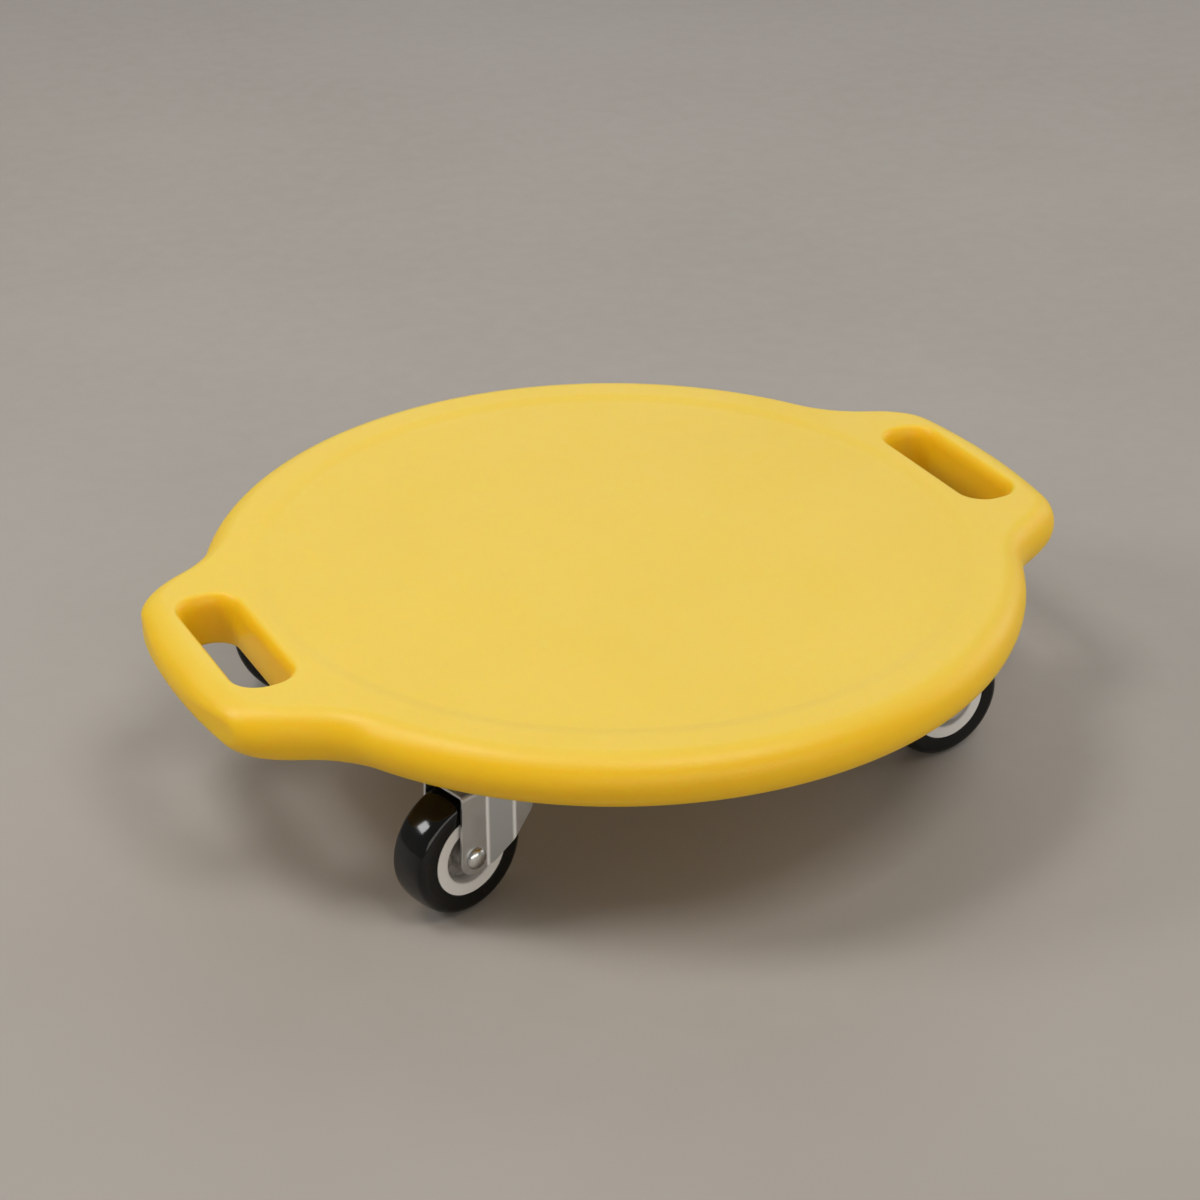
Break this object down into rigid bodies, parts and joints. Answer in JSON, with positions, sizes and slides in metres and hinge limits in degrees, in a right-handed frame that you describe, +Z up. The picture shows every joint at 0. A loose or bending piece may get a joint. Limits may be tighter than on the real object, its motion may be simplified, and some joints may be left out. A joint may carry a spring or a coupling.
{
  "type": "scooter board",
  "caption": "Round hollow plastic ride-on board with a raised rim and two moulded hand holes, carried low on swivel casters with plain rolling wheels.",
  "frame": {"origin": "on the ground under the middle of the board", "axes": "+Z up, +X along the line through both handles, +Y across the board"},
  "size_m": [0.457, 0.4, 0.1052],
  "materials": {
    "board_plastic": "satin yellow moulded polyethylene",
    "plug_plastic": "matt black",
    "tyre_rubber": "glossy black",
    "hub_plastic": "satin pale grey",
    "nylon": "natural nylon",
    "zinc_steel": "bright zinc plate on pressed sheet",
    "bright_steel": "bright zinc plate on turned parts"
  },
  "bodies": {
    "board": {"deck": "board_plastic", "vent_plug": "plug_plastic", "near_left_top_plate": "zinc_steel", "near_left_king_pin": "bright_steel", "near_left_race_cup": "zinc_steel", "near_left_screw_1": "bright_steel", "near_left_screw_2": "bright_steel", "near_left_screw_3": "bright_steel", "near_left_screw_4": "bright_steel", "near_right_top_plate": "zinc_steel", "near_right_king_pin": "bright_steel", "near_right_race_cup": "zinc_steel", "near_right_screw_1": "bright_steel", "near_right_screw_2": "bright_steel", "near_right_screw_3": "bright_steel", "near_right_screw_4": "bright_steel", "far_left_top_plate": "zinc_steel", "far_left_king_pin": "bright_steel", "far_left_race_cup": "zinc_steel", "far_left_screw_1": "bright_steel", "far_left_screw_2": "bright_steel", "far_left_screw_3": "bright_steel", "far_left_screw_4": "bright_steel", "far_right_top_plate": "zinc_steel", "far_right_king_pin": "bright_steel", "far_right_race_cup": "zinc_steel", "far_right_screw_1": "bright_steel", "far_right_screw_2": "bright_steel", "far_right_screw_3": "bright_steel", "far_right_screw_4": "bright_steel"},
    "near_left_caster": {"near_left_fork": "zinc_steel", "near_left_ball_row": "bright_steel", "near_left_thrust_washer": "nylon", "near_left_axle_rivet": "bright_steel", "near_left_axle_bush": "bright_steel"},
    "near_left_wheel": {"near_left_hub": "hub_plastic", "near_left_tyre": "tyre_rubber"},
    "near_right_caster": {"near_right_fork": "zinc_steel", "near_right_ball_row": "bright_steel", "near_right_thrust_washer": "nylon", "near_right_axle_rivet": "bright_steel", "near_right_axle_bush": "bright_steel"},
    "near_right_wheel": {"near_right_hub": "hub_plastic", "near_right_tyre": "tyre_rubber"},
    "far_left_caster": {"far_left_fork": "zinc_steel", "far_left_ball_row": "bright_steel", "far_left_thrust_washer": "nylon", "far_left_axle_rivet": "bright_steel", "far_left_axle_bush": "bright_steel"},
    "far_left_wheel": {"far_left_hub": "hub_plastic", "far_left_tyre": "tyre_rubber"},
    "far_right_caster": {"far_right_fork": "zinc_steel", "far_right_ball_row": "bright_steel", "far_right_thrust_washer": "nylon", "far_right_axle_rivet": "bright_steel", "far_right_axle_bush": "bright_steel"},
    "far_right_wheel": {"far_right_hub": "hub_plastic", "far_right_tyre": "tyre_rubber"}
  },
  "joints": [
    {"name": "near_left_swivel", "type": "hinge", "parent": "board", "child": "near_left_caster", "pos_m": [-0.104, -0.091, 0.065], "axis": [0, 0, 1], "continuous": true},
    {"name": "near_left_wheel_spin", "type": "hinge", "parent": "near_left_caster", "child": "near_left_wheel", "pos_m": [-0.13296, -0.09882, 0.0305], "axis": [0.2605, -0.9655, 0], "continuous": true},
    {"name": "near_right_swivel", "type": "hinge", "parent": "board", "child": "near_right_caster", "pos_m": [0.104, -0.091, 0.065], "axis": [0, 0, 1], "continuous": true},
    {"name": "near_right_wheel_spin", "type": "hinge", "parent": "near_right_caster", "child": "near_right_wheel", "pos_m": [0.13396, -0.08943, 0.0305], "axis": [-0.0523, 0.9986, 0], "continuous": true},
    {"name": "far_left_swivel", "type": "hinge", "parent": "board", "child": "far_left_caster", "pos_m": [-0.104, 0.091, 0.065], "axis": [0, 0, 1], "continuous": true},
    {"name": "far_left_wheel_spin", "type": "hinge", "parent": "far_left_caster", "child": "far_left_wheel", "pos_m": [-0.12558, 0.11184, 0.0305], "axis": [-0.6947, -0.7193, 0], "continuous": true},
    {"name": "far_right_swivel", "type": "hinge", "parent": "board", "child": "far_right_caster", "pos_m": [0.104, 0.091, 0.065], "axis": [0, 0, 1], "continuous": true},
    {"name": "far_right_wheel_spin", "type": "hinge", "parent": "far_right_caster", "child": "far_right_wheel", "pos_m": [0.11808, 0.11749, 0.0305], "axis": [-0.8829, 0.4695, 0], "continuous": true}
  ]
}
